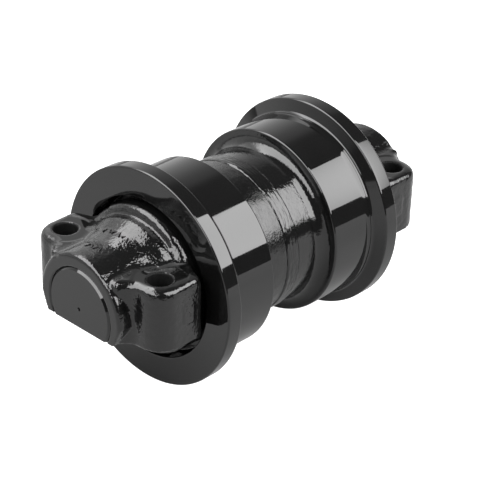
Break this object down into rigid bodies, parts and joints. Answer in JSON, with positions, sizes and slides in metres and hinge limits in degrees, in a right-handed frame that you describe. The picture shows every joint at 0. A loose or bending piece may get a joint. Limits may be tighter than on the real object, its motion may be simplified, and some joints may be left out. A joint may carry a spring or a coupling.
{
  "type": "track roller",
  "caption": "Double-flanged bottom track roller that turns on a fixed shaft held by two forged end collars, for a crawler excavator undercarriage.",
  "frame": {"origin": "centre of the roller on its turning axis, midway between the two flanges", "axes": "+Y along the shaft, +Z away from the track frame's seat, so the collars' seats and bolt holes face -Z, +X across the track frame's rails"},
  "size_m": [0.19, 0.347, 0.19],
  "materials": {
    "roller_paint": "gloss black paint over turned steel, rougher on the forged waist",
    "weld_paint": "gloss black paint over a rippled weld bead",
    "collar_paint": "gloss black paint over a pitted forged skin",
    "shaft_paint": "gloss black paint over the turned shaft end",
    "bush_bronze": "bored bronze lining",
    "seal_iron": "lapped cast iron",
    "seal_rubber": "moulded nitrile rubber",
    "pin_steel": "ground dowel steel",
    "plug_steel": "black-oxide steel"
  },
  "bodies": {
    "axle": {"shaft": "shaft_paint", "oil_plug": "plug_steel", "collar_left": "collar_paint", "collar_right": "collar_paint", "lock_pin_left": "pin_steel", "lock_pin_right": "pin_steel", "collar_o_ring_left": "seal_rubber", "collar_o_ring_right": "seal_rubber", "collar_seal_ring_left": "seal_iron", "collar_seal_ring_right": "seal_iron", "collar_seal_toric_left": "seal_rubber", "collar_seal_toric_right": "seal_rubber"},
    "roller": {"shell_half_left": "roller_paint", "shell_half_right": "roller_paint", "shell_weld": "weld_paint", "bushing_left": "bush_bronze", "bushing_right": "bush_bronze", "shell_seal_ring_left": "seal_iron", "shell_seal_ring_right": "seal_iron", "shell_seal_toric_left": "seal_rubber", "shell_seal_toric_right": "seal_rubber"}
  },
  "joints": [
    {"name": "roller_spin", "type": "hinge", "parent": "axle", "child": "roller", "pos_m": [0, 0, 0], "axis": [0, 1, 0], "continuous": true}
  ]
}
